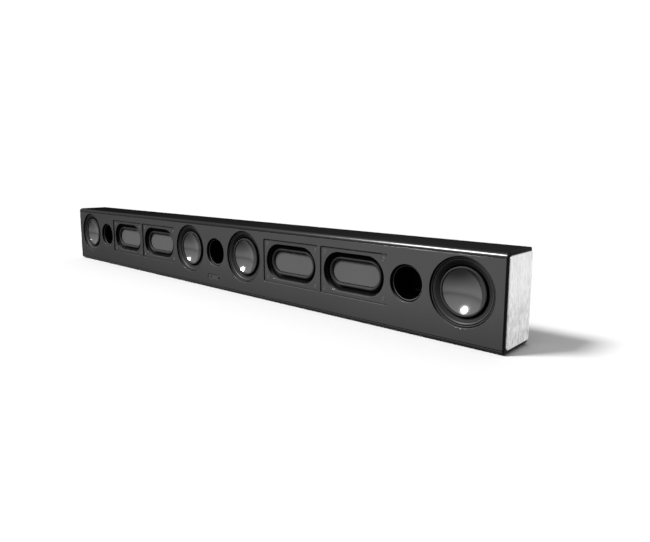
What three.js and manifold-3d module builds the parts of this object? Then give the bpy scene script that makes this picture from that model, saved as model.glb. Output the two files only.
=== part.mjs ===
// Soundbar with exposed drivers: long cabinet, four drivers, four passive radiators, three ports.
// Millimetres, +X along the bar, -Y towards the listener, +Z up, origin under the middle of the bar.
import * as THREE from 'three';
import { mergeVertices } from 'three/addons/utils/BufferGeometryUtils.js';
import Module from 'manifold-3d';

const wasm = await Module();
wasm.setup();

// Cabinet
const bodyHalf = 538.2;          // half length of the top cover, the tray and the baffle
const rearHalf = 537;            // half length of the flat rear cover
const capEnd = 540;              // outer face of the black end caps
const plateEnd = 542;            // outer face of the brushed end plates
const front = -33;               // front face
const rear = 33;                 // rear face
const base = 1.8;                // underside of the tray, above the feet
const top = 120;
const wall = 2.5;
const gap = 0.3;                 // gap between neighbouring pieces
const lipLow = 5;                // the lower front lip ends here
const lipHigh = 113;             // the upper front lip starts here
const frontRound = 6.5;          // large radius along the top front edge
const rearRound = 3;
const rearLow = 5.3;             // the flat rear cover spans this height
const rearHigh = 112.7;

// Front layout
const driverX = [-483.6, -78.4, 78.4, 483.6];
const radiatorX = [-314.9, -189.9, 189.9, 314.9];
const portX = [-405.2, 0, 405.2];
const featureZ = 66;
const driverHole = 43.8;
const portHole = 25;
const frameHalfWide = 59.6;
const frameHalfHigh = 34.3;
const frameZ = 66.5;
const baffleGap = 1.1;           // shadow gap between the baffle and the lips
const baffleFront = -32.6;
const baffleBack = -27.6;
const windowX = -6;
const windowZ = 20;

// Rear connector bay
const bayX = -190;
const bayHalfWide = 60;
const bayLow = 30;
const bayHigh = 90;
const bayFloor = 16;             // the panel's outer face, set in from the rear
const bayFloorBack = 14;
const inletX = -147;
const rockerX = -170;
const buttonX = -186;
const lineX = -200;
const opticalX = -214;
const videoX = -233;
const socketZ = 60;
const rockerTilt = 7;            // degrees either side of level

const group = new THREE.Group();
group.name = 'soundbar';

// ---- helpers -------------------------------------------------------------

const v2 = (x, y) => new THREE.Vector2(x, y);

// Points along an arc from angle a to angle b, in degrees, ends included.
function arc(cx, cy, r, a, b, n) {
  return Array.from({ length: n + 1 }, (_, i) => {
    const t = THREE.MathUtils.degToRad(a + ((b - a) * i) / n);
    return v2(cx + r * Math.cos(t), cy + r * Math.sin(t));
  });
}

function circle(cx, cy, r, n = 32) {
  return arc(cx, cy, r, 0, 360, n).slice(0, n);
}

function rectangle(x0, y0, x1, y1) {
  return [v2(x0, y0), v2(x1, y0), v2(x1, y1), v2(x0, y1)];
}

function roundedRectangle(cx, cy, halfWide, halfHigh, r, n = 3) {
  const w = halfWide - r, h = halfHigh - r;
  return [
    ...arc(cx + w, cy - h, r, -90, 0, n), ...arc(cx + w, cy + h, r, 0, 90, n),
    ...arc(cx - w, cy + h, r, 90, 180, n), ...arc(cx - w, cy - h, r, 180, 270, n),
  ];
}

function stadium(cx, cy, halfWide, halfHigh, n = 10) {
  const w = halfWide - halfHigh;
  return [
    ...arc(cx + w, cy, halfHigh, -90, 90, n), ...arc(cx - w, cy, halfHigh, 90, 270, n),
  ];
}

function outline(points, holes = []) {
  const shape = new THREE.Shape(points);
  shape.holes = holes.map((hole) => new THREE.Path(hole));
  return shape;
}

// Extrusions along each axis. Shapes are drawn in (Y, Z), (X, Z) and (X, Y).
function alongX(shape, x0, x1) {
  const geometry = new THREE.ExtrudeGeometry(shape, { depth: x1 - x0, bevelEnabled: false });
  geometry.applyMatrix4(new THREE.Matrix4().set(0, 0, 1, x0, 1, 0, 0, 0, 0, 1, 0, 0, 0, 0, 0, 1));
  return geometry;
}

function alongY(shape, y0, y1) {
  const geometry = new THREE.ExtrudeGeometry(shape, { depth: y1 - y0, bevelEnabled: false });
  geometry.applyMatrix4(new THREE.Matrix4().set(1, 0, 0, 0, 0, 0, -1, y1, 0, 1, 0, 0, 0, 0, 0, 1));
  return geometry;
}

function alongZ(shape, z0, z1) {
  const geometry = new THREE.ExtrudeGeometry(shape, { depth: z1 - z0, bevelEnabled: false });
  geometry.translate(0, 0, z0);
  return geometry;
}

// A profile of [radius, y] pairs turned about the Y axis through (cx, cz). It runs from axis to
// axis, or is closed here, and is put in the order that makes the faces point outwards.
function turned(profile, cx, cz, segments = 32) {
  const points = profile.map(([r, y]) => v2(r, y));
  if (THREE.ShapeUtils.area(points) < 0) points.reverse();
  if (profile[0][0] !== 0) points.push(points[0].clone());
  const geometry = new THREE.LatheGeometry(points, segments);
  geometry.translate(cx, 0, cz);
  return geometry;
}

function box(x0, x1, y0, y1, z0, z1) {
  const geometry = new THREE.BoxGeometry(x1 - x0, y1 - y0, z1 - z0);
  geometry.translate((x0 + x1) / 2, (y0 + y1) / 2, (z0 + z1) / 2);
  return geometry;
}

function solid(geometry) {
  const bare = geometry.clone();
  bare.deleteAttribute('normal');
  bare.deleteAttribute('uv');
  const merged = mergeVertices(bare, 1e-4);
  const mesh = new wasm.Mesh({
    numProp: 3,
    vertProperties: new Float32Array(merged.attributes.position.array),
    triVerts: new Uint32Array(merged.index.array),
  });
  mesh.merge();
  return new wasm.Manifold(mesh);
}

function geometryOf(manifold) {
  const mesh = manifold.getMesh();
  const geometry = new THREE.BufferGeometry();
  geometry.setAttribute('position', new THREE.BufferAttribute(mesh.vertProperties, 3));
  geometry.setIndex(new THREE.BufferAttribute(mesh.triVerts, 1));
  geometry.computeVertexNormals();
  return geometry;
}

function join(first, ...others) {
  return geometryOf(others.reduce((sum, other) => sum.add(solid(other)), solid(first)));
}

function cut(first, ...others) {
  return geometryOf(others.reduce((rest, other) => rest.subtract(solid(other)), solid(first)));
}

function add(name, geometry, color, roughness, metalness = 0) {
  const material = new THREE.MeshStandardMaterial({ color, roughness, metalness });
  const mesh = new THREE.Mesh(geometry, material);
  mesh.name = name;
  group.add(mesh);
}

// ---- cabinet -------------------------------------------------------------

const satinBlack = 0x26272a, deepBlack = 0x101113, charcoal = 0x35363a;

// The cabinet's outline in (Y, Z), from the underside round the back to the top front edge.
const cabinetOutline = [
  ...arc(front + 1, base + 1, 1, 180, 270, 2),
  ...arc(rear - rearRound, base + rearRound, rearRound, -90, 0, 3),
  ...arc(rear - rearRound, top - rearRound, rearRound, 0, 90, 3),
  ...arc(front + frontRound, top - frontRound, frontRound, 90, 180, 6),
];

// The top cover wraps over the top and ends in the upper front lip and a short rear lip.
const coverProfile = outline([
  v2(rear, rearHigh + gap), ...arc(rear - rearRound, top - rearRound, rearRound, 0, 90, 3),
  ...arc(front + frontRound, top - frontRound, frontRound, 90, 180, 6),
  v2(front, lipHigh), v2(front + wall, lipHigh),
  ...arc(front + frontRound, top - frontRound, frontRound - wall, 180, 90, 6),
  ...arc(rear - rearRound, top - rearRound, rearRound - wall, 90, 0, 1),
  v2(rear - wall, rearHigh + gap),
]);
add('top_cover', alongX(coverProfile, -bodyHalf, bodyHalf), satinBlack, 0.42);

// The base tray carries the lower front lip and a short rear lip.
const trayProfile = outline([
  v2(front, lipLow), ...arc(front + 1, base + 1, 1, 180, 270, 2),
  ...arc(rear - rearRound, base + rearRound, rearRound, -90, 0, 3),
  v2(rear, rearLow - gap), v2(rear - wall, rearLow - gap),
  ...arc(rear - rearRound, base + rearRound, rearRound - wall, 0, -90, 1),
  v2(front + wall, base + wall), v2(front + wall, lipLow),
]);
add('base_tray', alongX(trayProfile, -bodyHalf, bodyHalf), satinBlack, 0.5);

const bayOpening = box(
  bayX - bayHalfWide - gap, bayX + bayHalfWide + gap, 28, 36, bayLow - gap, bayHigh + gap);
const plateHalfWide = 22, plateLow = 45, plateHigh = 105, plateX = 400;
const wallOpenings = [-plateX, plateX].map((x) => box(
  x - plateHalfWide - gap, x + plateHalfWide + gap, 28, 36, plateLow - gap, plateHigh + gap));
add('rear_cover', cut(box(-rearHalf, rearHalf, rear - wall, rear, rearLow, rearHigh),
  bayOpening, ...wallOpenings), satinBlack, 0.55);

const baffleHoles = [
  ...driverX.map((x) => circle(x, featureZ, driverHole, 40)),
  ...portX.map((x) => circle(x, featureZ, portHole, 32)),
  ...radiatorX.map((x) => roundedRectangle(
    x, frameZ, frameHalfWide + gap, frameHalfHigh + gap, 2.6, 2)),
  stadium(windowX, windowZ, 18, 5, 6),
];
add('front_baffle', alongY(
  outline(rectangle(-bodyHalf + gap, lipLow + baffleGap, bodyHalf - gap, lipHigh - baffleGap), baffleHoles),
  baffleFront, baffleBack), charcoal, 0.6);

const capOutline = outline(cabinetOutline);
const plateOutline = outline(roundedRectangle(0.6, 60.8, 31, 55, 3, 4));
for (const [side, s] of [['left', -1], ['right', 1]]) {
  const span = (a, b) => (s > 0 ? [a, b] : [-b, -a]);
  add(`end_cap_${side}`, alongX(capOutline, ...span(bodyHalf + gap, capEnd)), deepBlack, 0.5);
  add(`end_plate_${side}`, alongX(plateOutline, ...span(capEnd + gap, plateEnd)),
    0xc4c5c8, 0.32, 1);
}

// ---- drivers ---------------------------------------------------------------

const basketProfile = [
  [43.5, -29.7], [38, -28.5], [37.6, -26.4], [36, -22], [24, 1.5], [24, 5], [27, 5], [38.6, -21],
  [43.5, -26.4],
];
const surroundProfile = [
  [37.3, -28.6], [35.4, -27.3], [33.6, -25.1], [31.6, -23.6], [29.6, -23.6], [29.6, -22.8],
  [31.9, -22.8], [34.2, -24.2], [36.4, -26.3], [37.3, -27.2],
];
const coneProfile = [
  [0, -19], [8, -19.6], [15, -21.3], [21.5, -23.8], [26.6, -26.5], [28.2, -27], [29.2, -26.2],
  [29.2, -24.4], [21, -22], [13, -19.4], [13, -1], [12, -1], [12, -19], [0, -18],
];
const magnetProfile = [
  [0, -7], [11.2, -7], [11.2, 8], [13.8, 8], [13.8, -7], [21.5, -7], [21.5, 5.4], [27, 5.4],
  [27, 20], [0, 20],
];
const spiderProfile = [[13.4, -12], [29.8, -12], [29.8, -11.2], [13.4, -11.2]];
driverX.forEach((x, i) => {
  add(`driver_basket_${i + 1}`, turned(basketProfile, x, featureZ), 0x2c2d30, 0.55);
  add(`driver_surround_${i + 1}`, turned(surroundProfile, x, featureZ), 0x17181a, 0.7);
  add(`driver_cone_${i + 1}`, turned(coneProfile, x, featureZ), 0x3c3d40, 0.25, 0.3);
  add(`driver_spider_${i + 1}`, turned(spiderProfile, x, featureZ, 24), 0x8a7446, 0.9);
  add(`driver_magnet_${i + 1}`, turned(magnetProfile, x, featureZ, 24), 0x55565a, 0.5, 0.8);
});

// ---- passive radiators -----------------------------------------------------

const openHalfWide = 53.7, openHalfHigh = 28;     // opening in the frame
const rimHalfWide = 46.5, rimHalfHigh = 21;       // raised rim round the plate
const dishHalfWide = 42.3, dishHalfHigh = 16.8;   // flat plate inside the rim
radiatorX.forEach((x, i) => {
  const ring = (w, h) => stadium(x, frameZ, w, h);
  add(`radiator_frame_${i + 1}`, alongY(
    outline(roundedRectangle(x, frameZ, frameHalfWide, frameHalfHigh, 2.3, 2),
      [ring(openHalfWide, openHalfHigh)]), baffleFront + 0.3, -21), charcoal, 0.6);
  add(`radiator_surround_${i + 1}`, alongY(
    outline(ring(openHalfWide - gap, openHalfHigh - gap),
      [ring(rimHalfWide + gap, rimHalfHigh + gap)]), -24.2, -22.8), 0x121214, 0.75);
  const tray = cut(alongY(outline(ring(rimHalfWide, rimHalfHigh)), -28.5, -22.4),
    alongY(outline(ring(dishHalfWide, dishHalfHigh)), -30, -25.4));
  add(`radiator_plate_${i + 1}`, join(tray, box(x - 24, x + 24, -23, -16.5,
    frameZ - 8, frameZ + 8)), 0x5a5b5e, 0.6);
});

// ---- ports and status window -------------------------------------------------

const portProfile = [
  [24.7, -28.3], [23.2, -28.3], [22.8, -29], [22, -29], [21.5, -28.2], [21.5, 8], [23, 8],
  [23, -26], [24.7, -26],
];
['left', 'centre', 'right'].forEach((side, i) => {
  add(`port_tube_${side}`, turned(portProfile, portX[i], featureZ), 0x1b1c1e, 0.5);
});
add('status_window', alongY(outline(stadium(windowX, windowZ, 17.7, 4.7, 6)), -32.1, -29),
  0x0c0c0e, 0.15);

// ---- rear connector bay --------------------------------------------------------

const bayOuter = box(bayX - bayHalfWide, bayX + bayHalfWide, bayFloorBack, 32.4, bayLow, bayHigh);
const bayInner = box(bayX - bayHalfWide + 2, bayX + bayHalfWide - 2, bayFloor, 40,
  bayLow + 2, bayHigh - 2);
const through = (x, halfWide, halfHigh) => box(
  x - halfWide, x + halfWide, 10, 20, socketZ - halfHigh, socketZ + halfHigh);
const buttonHole = alongY(outline(circle(buttonX, socketZ, 3.8, 24)), 10, 20);
const lineHole = alongY(outline(circle(lineX, socketZ, 4.3, 24)), 10, 20);
add('connector_panel', cut(bayOuter, bayInner, through(inletX, 10.3, 6.8),
  through(rockerX, 6.4, 8.9), buttonHole, lineHole, through(opticalX, 5.3, 5.3),
  through(videoX, 8.3, 4.1)), satinBlack, 0.5);

const inletShape = outline(roundedRectangle(inletX, socketZ, 10, 6.5, 2, 3));
const inletHollow = outline(stadium(inletX, socketZ, 7.4, 4.1, 6));
const pin = (x) => alongY(outline(circle(x, socketZ, 1.2, 12)), 4, 10.5);
add('power_inlet', join(cut(alongY(inletShape, 2.5, 16.6), alongY(inletHollow, 4.5, 20)),
  pin(inletX - 4.3), pin(inletX + 4.3)), 0x141416, 0.5);
add('video_socket', cut(alongY(outline(rectangle(videoX - 8, socketZ - 3.8, videoX + 8,
  socketZ + 3.8)), 9.2, 16.6), alongY(outline(rectangle(videoX - 7.1, socketZ - 2.5,
  videoX + 7.1, socketZ + 2.5)), 10.4, 20)), 0x9a9ba0, 0.35, 1);
add('optical_socket', cut(alongY(outline(roundedRectangle(opticalX, socketZ, 5, 5, 1, 2)),
  9.2, 16.6), box(opticalX - 3, opticalX + 3, 13.6, 20, socketZ - 3, socketZ + 3)),
  0x161618, 0.5);
const lineProfile = [[0, 11], [1.85, 11], [1.85, 16.9], [4, 16.9], [4, 9.2], [0, 9.2]];
add('line_socket', turned(lineProfile, lineX, socketZ, 24), 0x2a2b2e, 0.4);
const buttonProfile = [[0, 12.9], [3.4, 12.9], [3.4, 17.4], [2.8, 17.9], [0, 17.9]];
add('pairing_button', turned(buttonProfile, buttonX, socketZ, 24), 0x2e2f33, 0.45);

// The rocker is drawn level about its pivot, then tilted to its off position.
const rockerShape = outline([
  v2(-2.4, -4), v2(-0.6, -8.2), v2(3.4, -8.2), v2(2.2, 0), v2(3.4, 8.2), v2(-0.6, 8.2),
  v2(-2.4, 4),
]);
const rocker = alongX(rockerShape, -6, 6);
rocker.rotateX(THREE.MathUtils.degToRad(rockerTilt));
rocker.translate(rockerX, 15, socketZ);
add('power_rocker', rocker, 0x1c1d20, 0.4);

// ---- electronics -----------------------------------------------------------------

add('main_board', join(box(-247, -163, 7, 8.6, 32, 88), box(-214, -194, 4.6, 7.4, 50, 70),
  box(-240, -228, 5, 7.4, 40, 52), box(-184, -172, 5, 7.4, 64, 76)), 0x1f4a2c, 0.6);
add('power_board', join(box(132, 246, 18, 19.6, 30, 96), box(140, 170, 0, 18.4, 44, 76),
  box(184, 200, 4, 18.4, 40, 56), box(184, 200, 4, 18.4, 66, 82), box(212, 236, 8, 18.4, 46, 74)),
  0x23502f, 0.6);
const fins = Array.from({ length: 9 }, (_, i) => 264 + i * 9);
const sinkOutline = fins.flatMap((x) => [v2(x, 24), v2(x, 6), v2(x + 2.5, 6), v2(x + 2.5, 24)]);
add('heat_sink', alongZ(outline([v2(264, 28), ...sinkOutline, v2(338.5, 28)]), 38, 94),
  0x8b8d91, 0.4, 1);

// ---- feet and wall plates -----------------------------------------------------------

let foot = 0;
for (const x of [-470, 470]) {
  for (const y of [-20, 20]) {
    foot += 1;
    add(`foot_${foot}`, alongZ(outline(circle(x, y, 9, 24)), 0, 1.5), 0x0e0e10, 0.9);
  }
}
for (const [side, s] of [['left', -1], ['right', 1]]) {
  const x = s * plateX;
  const keyhole = [
    v2(x + 2.5, 86), ...arc(x, 86, 2.5, 0, 180, 8).slice(1), v2(x - 2.5, 73.7),
    ...arc(x, 70, 4.5, 124, 416, 16), v2(x + 2.5, 73.7),
  ];
  add(`wall_plate_${side}`, alongY(outline(rectangle(x - plateHalfWide, plateLow,
    x + plateHalfWide, plateHigh), [keyhole]), 31, rear), 0x77797d, 0.4, 1);
}

export default group;
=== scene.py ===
import math
import bpy
import bmesh
import numpy as np
from mathutils import Euler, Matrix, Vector
from mathutils.geometry import tessellate_polygon


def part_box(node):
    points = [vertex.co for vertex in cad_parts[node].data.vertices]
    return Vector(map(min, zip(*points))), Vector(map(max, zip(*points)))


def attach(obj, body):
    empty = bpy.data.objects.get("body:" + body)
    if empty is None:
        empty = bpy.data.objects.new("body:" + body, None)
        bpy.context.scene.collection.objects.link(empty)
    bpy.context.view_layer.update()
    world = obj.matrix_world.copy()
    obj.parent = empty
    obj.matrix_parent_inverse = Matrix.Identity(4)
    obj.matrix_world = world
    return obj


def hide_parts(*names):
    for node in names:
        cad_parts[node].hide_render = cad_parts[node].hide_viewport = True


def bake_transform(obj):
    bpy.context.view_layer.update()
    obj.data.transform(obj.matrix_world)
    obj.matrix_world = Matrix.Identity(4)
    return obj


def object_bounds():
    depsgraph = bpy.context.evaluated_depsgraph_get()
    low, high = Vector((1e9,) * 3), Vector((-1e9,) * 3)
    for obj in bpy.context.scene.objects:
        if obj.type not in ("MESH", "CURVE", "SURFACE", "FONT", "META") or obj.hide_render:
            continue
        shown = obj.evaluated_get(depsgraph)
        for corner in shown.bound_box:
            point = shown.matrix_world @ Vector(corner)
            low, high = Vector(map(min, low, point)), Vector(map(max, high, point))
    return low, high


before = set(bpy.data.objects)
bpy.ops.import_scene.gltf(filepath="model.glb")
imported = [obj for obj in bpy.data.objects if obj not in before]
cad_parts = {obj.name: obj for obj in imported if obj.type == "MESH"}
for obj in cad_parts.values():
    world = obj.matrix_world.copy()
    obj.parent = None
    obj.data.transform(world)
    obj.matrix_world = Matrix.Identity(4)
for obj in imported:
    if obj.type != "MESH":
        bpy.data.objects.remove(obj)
cadLow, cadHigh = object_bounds()
mm = 0.001
frontY = cadLow.y
print("frame loaded:", len(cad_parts), "solids")


# A rectangle core (half sizes a, b) grown by a radius: four arcs joined by straight runs. With no
# core it is a circle, with b = 0 a stadium. Each arc has the same number of steps. A lobe adds to the
# radius its size times the cosine of six times the angle.
def grownCore(core, radius, steps, lobe=0.0):
    a, b = core
    points = []
    for quarter, (sx, sz) in enumerate(((1, 1), (-1, 1), (-1, -1), (1, -1))):
        straight = a if quarter % 2 == 0 else b
        count = steps + 1 if straight > 1e-9 else steps
        turn = (quarter + np.arange(count) / steps) * math.pi / 2
        r = radius + lobe * np.cos(6 * turn)
        points.append(np.stack([sx * a + r * np.cos(turn), sz * b + r * np.sin(turn)], 1))
    return np.concatenate(points)


# An outline given by its points, moved outwards along the mean normal of its two edges.
def movedOutline(points, grow):
    points = np.asarray(points, float)
    before, after = points - np.roll(points, 1, 0), np.roll(points, -1, 0) - points
    before /= np.linalg.norm(before, axis=1)[:, None]
    after /= np.linalg.norm(after, axis=1)[:, None]
    normal = np.stack([before[:, 1] + after[:, 1], -before[:, 0] - after[:, 0]], 1)
    normal /= np.linalg.norm(normal, axis=1)[:, None]
    shorten = np.clip((normal * np.stack([after[:, 1], -after[:, 0]], 1)).sum(1), 0.5, 1)
    return points + grow * normal / shorten[:, None]


# An arc at equal steps of angle: the centre plus the radius times cosine and sine.
def arcPoints(centre, radius, startDeg, endDeg, steps):
    turn = np.radians(np.linspace(startDeg, endDeg, steps + 1))
    return np.stack([centre[0] + radius * np.cos(turn), centre[1] + radius * np.sin(turn)], 1)


# Flat points and their depth as space points, with the depth along the named axis.
def standing(flat, depth, axis):
    across, up = flat[:, 0], flat[:, 1]
    deep = np.full(len(flat), float(depth))
    return np.stack({"x": (deep, across, up), "y": (across, deep, up), "z": (across, up, deep)}[axis], 1)


# Quads between neighbouring rows of points, each row a closed loop; the last row may join the first.
def loopFaces(rows, columns, start, closed):
    count = rows if closed else rows - 1
    row, column = np.meshgrid(np.arange(count), np.arange(columns), indexing="ij")
    nextRow, nextColumn = (row + 1) % rows, (column + 1) % columns
    quad = np.stack([row * columns + column, row * columns + nextColumn,
                     nextRow * columns + nextColumn, nextRow * columns + column], -1)
    return (quad.reshape(-1, 4) + start).tolist()


# An object from points and faces: doubles merged, normals turned outwards, and an edge sharp where its
# faces meet at more than the given angle.
def makeObject(name, points, faces, sharp=40, weld=1e-7):
    mesh = bpy.data.meshes.new(name)
    mesh.from_pydata(np.asarray(points).tolist(), [], faces)
    tidy = bmesh.new()
    tidy.from_mesh(mesh)
    bmesh.ops.remove_doubles(tidy, verts=tidy.verts, dist=weld)
    bmesh.ops.dissolve_degenerate(tidy, edges=tidy.edges, dist=weld)
    bmesh.ops.recalc_face_normals(tidy, faces=tidy.faces)
    tidy.to_mesh(mesh)
    tidy.free()
    mesh.shade_smooth()
    mesh.set_sharp_from_angle(angle=math.radians(sharp))
    made = bpy.data.objects.new(name, mesh)
    bpy.context.scene.collection.objects.link(made)
    return made


# Long straight runs of a profile get a row close to each end, so that they shade flat.
def heldRows(rows, closed, hold=0.25 * mm, longRun=2.4 * mm):
    rows = [tuple(row) + (0.0,) * (3 - len(row)) for row in rows]
    pairs = list(zip(rows, rows[1:] + rows[:1])) if closed else list(zip(rows, rows[1:]))
    held = []
    for first, second in pairs:
        held.append(first)
        run = math.hypot(second[0] - first[0], second[1] - first[1])
        if run > longRun:
            for share in (hold / run, 1 - hold / run):
                held.append(tuple(a + share * (b - a) for a, b in zip(first, second)))
    return held if closed else held + [rows[-1]]


# A profile of (radius, depth) rows carried round a grown core about the Y axis. A closed profile
# makes a ring; an open one is closed with a flat cap at each end.
def carriedRing(rows, core=(0, 0), centre=(0, 0), steps=24, closed=True):
    rows = heldRows(rows, closed)
    loops = [grownCore(core, row[0], steps, row[2]) for row in rows]
    columns = len(loops[0])
    points = np.concatenate([standing(loop + np.array(centre), row[1], "y")
                             for loop, row in zip(loops, rows)])
    faces = loopFaces(len(rows), columns, 0, closed)
    if not closed:
        last = (len(rows) - 1) * columns
        faces += [list(range(columns)), list(range(last, last + columns))]
    return points, faces


# A plate with holes: every outline has its own (grow, depth) rows, first and last at the plate's two
# faces, and both faces are filled between the outlines.
def piercedPlate(outlines, axis="y"):
    points, faces, starts, offset = [], [], [], 0
    for shape, rows in outlines:
        loops = [standing(shape(row[0]), row[1], axis) for row in rows]
        columns = len(loops[0])
        starts.append((offset, offset + (len(rows) - 1) * columns, columns))
        faces += loopFaces(len(rows), columns, offset, False)
        points += loops
        offset += len(rows) * columns
    points = np.concatenate(points)
    drop = {"x": 0, "y": 1, "z": 2}[axis]
    for side in (0, 1):
        lists = [np.delete(points[s[side]:s[side] + s[2]], drop, 1) for s in starts]
        index = np.concatenate([np.arange(s[side], s[side] + s[2]) for s in starts])
        vectors = [[Vector((p[0], p[1], 0)) for p in some] for some in lists]
        faces += [[int(index[i]) for i in corner] for corner in tessellate_polygon(vectors)]
    return points, faces


# The outline of a grown core as a function of how much further it grows, moved to its centre.
def roundHole(centre, core, radius, steps=16):
    return lambda grow: grownCore(core, radius + grow, steps) + np.array(centre)


# A drawn outline as a function of how far it is moved outwards.
def drawnHole(points):
    return lambda grow: movedOutline(points, grow)


# The rows of an edge rounded by a quarter circle, from the face down the wall. side is +1 for a hole,
# which widens towards the face, and -1 for an outer edge, which shrinks.
def roundedEdge(face, wallEnd, size, side, steps=4):
    way = 1 if wallEnd > face else -1
    turn = np.linspace(0, math.pi / 2, steps + 1)
    rows = [(side * size * (1 - math.sin(t)), face + way * size * (1 - math.cos(t))) for t in turn]
    hold = 0.3 * mm
    return [(side * (size + hold), face)] + rows + [(0.0, face + way * (size + hold)), (0.0, wallEnd)]


# Rows rounded at both ends of a wall.
def roundedBoth(face, back, size, side, steps=4):
    first = roundedEdge(face, (face + back) / 2, size, side, steps)[:-1]
    last = roundedEdge(back, (face + back) / 2, size, side, steps)[:-1]
    return first + last[::-1]


# Several shapes as one: points in a row, and each shape's corner numbers raised by the points before it.
def joinShapes(shapes):
    points, faces, offset = [], [], 0
    for somePoints, someFaces in shapes:
        points.append(np.asarray(somePoints))
        faces += [[i + offset for i in face] for face in someFaces]
        offset += len(somePoints)
    return np.concatenate(points), faces


# A merged copy of a solid of the frame, with its flat faces joined and its edges rounded.
def softenedCopy(node, width, segments=2, bevelFrom=40, sharpFrom=30, flatWithin=1, weld=1e-6):
    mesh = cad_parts[node].data.copy()
    mesh.materials.clear()
    tidy = bmesh.new()
    tidy.from_mesh(mesh)
    bmesh.ops.remove_doubles(tidy, verts=tidy.verts, dist=weld)
    bmesh.ops.dissolve_limit(tidy, angle_limit=math.radians(flatWithin), verts=tidy.verts,
                             edges=tidy.edges)
    tidy.to_mesh(mesh)
    tidy.free()
    made = bpy.data.objects.new(node + "_made", mesh)
    bpy.context.scene.collection.objects.link(made)
    edge = made.modifiers.new("edge", "BEVEL")
    edge.width = width
    edge.segments = segments
    edge.limit_method = "ANGLE"
    edge.angle_limit = math.radians(bevelFrom)
    edge.harden_normals = True
    mesh.shade_smooth()
    mesh.set_sharp_from_angle(angle=math.radians(sharpFrom))
    return made


# The centre of a node's box: half the sum of its two corners.
def middle(node):
    low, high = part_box(node)
    return (low + high) / 2


# A node's centre and half size across the front, each as (X, Z): half the sum and half the difference
# of the corners of its box.
def seat(node):
    low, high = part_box(node)
    return ((low.x + high.x) / 2, (low.z + high.z) / 2), ((high.x - low.x) / 2, (high.z - low.z) / 2)


# Gives a finished piece its material, the body it rides on and the nodes it stands in for.
def place(made, body, material, nodes=()):
    made.data.materials.clear()
    made.data.materials.append(material)
    if body:
        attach(made, body)
    if nodes:
        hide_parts(*nodes)
    return made


class Wire:
    # A socket that adds, subtracts and multiplies like a number: each operator is one Math node.
    def __init__(self, board, socket):
        self.board, self.socket = board, socket

    def __add__(self, other): return self.board.maths("ADD", self, other)
    def __radd__(self, other): return self.board.maths("ADD", other, self)
    def __sub__(self, other): return self.board.maths("SUBTRACT", self, other)
    def __rsub__(self, other): return self.board.maths("SUBTRACT", other, self)
    def __mul__(self, other): return self.board.maths("MULTIPLY", self, other)
    def __rmul__(self, other): return self.board.maths("MULTIPLY", other, self)


class Board:
    # One material's nodes, from its coordinates to its shader.
    def __init__(self, name):
        self.material = bpy.data.materials.new(name)
        self.material.use_nodes = True
        self.tree = self.material.node_tree
        self.tree.nodes.clear()
        output = self.tree.nodes.new("ShaderNodeOutputMaterial")
        self.shader = self.tree.nodes.new("ShaderNodeBsdfPrincipled")
        self.tree.links.new(self.shader.outputs[0], output.inputs[0])
        coordinates = self.tree.nodes.new("ShaderNodeTexCoord")
        self.where = Wire(self, coordinates.outputs["Object"])
        self.facing = Wire(self, coordinates.outputs["Normal"])

    # Any node from its type, its settings and the values or links of its sockets.
    def node(self, kind, settings=None, values=None, result=0):
        made = self.tree.nodes.new("ShaderNode" + kind)
        for key, value in (settings or {}).items():
            if key == "stops":
                for stop, (at, colour) in enumerate(value):
                    element = made.color_ramp.elements
                    one = element[stop] if stop < len(element) else element.new(at)
                    one.position, one.color = at, colour
            else:
                setattr(made, key, value)
        for key, value in (values or {}).items():
            if isinstance(value, Wire):
                self.tree.links.new(value.socket, made.inputs[key])
            else:
                made.inputs[key].default_value = value
        return Wire(self, made.outputs[result])

    # One Math node: the operation on two values.
    def maths(self, operation, first, second=0.0):
        return self.node("Math", {"operation": operation}, {0: first, 1: second})

    # A value held between a low and a high limit.
    def clamp(self, value, low=0.0, high=1.0):
        return self.node("Clamp", None, {"Value": value, "Min": low, "Max": high})

    # A value carried from one range to another, held at the ends.
    def between(self, value, fromLow, fromHigh, toLow=0.0, toHigh=1.0):
        return self.node("MapRange", None, {"Value": value, "From Min": fromLow, "From Max": fromHigh,
                                            "To Min": toLow, "To Max": toHigh})

    # The coordinates stretched by a factor along each axis.
    def stretched(self, factors):
        return self.node("Mapping", {"vector_type": "POINT"}, {"Vector": self.where, "Scale": factors})

    # Fractal noise at a scale, over the object coordinates or a stretched copy of them.
    def noise(self, scale, detail=2.0, roughness=0.5, vector=None):
        return self.node("TexNoise", None, {"Vector": vector or self.where, "Scale": scale,
                                            "Detail": detail, "Roughness": roughness})

    # One of the three object coordinates.
    def part(self, axis):
        return self.node("SeparateXYZ", None, {"Vector": self.where}, result="XYZ".index(axis))

    # A colour between two greys by a factor.
    def shade(self, factor, dark, light):
        return self.node("Mix", {"data_type": "RGBA"}, {"Factor": factor, 6: tint(dark), 7: tint(light)},
                         result=2)

    # A colour between a fixed colour and a linked one by a factor.
    def mixed(self, factor, fixed, linked):
        return self.node("Mix", {"data_type": "RGBA"}, {"Factor": factor, 6: tint(fixed), 7: linked},
                         result=2)

    # A colour made darker or lighter by a factor.
    def scaled(self, colour, factor):
        return self.node("VectorMath", {"operation": "SCALE"}, {0: colour, "Scale": factor})

    # A normal tilted by the slope of a height.
    def bump(self, height, strength, distance):
        return self.node("Bump", None, {"Height": height, "Strength": strength, "Distance": distance})

    # Sets each named socket of the shader: a wire is linked, and any other value is set on the socket.
    def finish(self, **sockets):
        for key, value in sockets.items():
            name = {"base": "Base Color", "rough": "Roughness", "metal": "Metallic", "coat": "Coat Weight",
                    "coatRough": "Coat Roughness", "specular": "Specular IOR Level", "normal": "Normal"}[key]
            if isinstance(value, Wire):
                self.tree.links.new(value.socket, self.shader.inputs[name])
            else:
                self.shader.inputs[name].default_value = value
        return self.material


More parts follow.
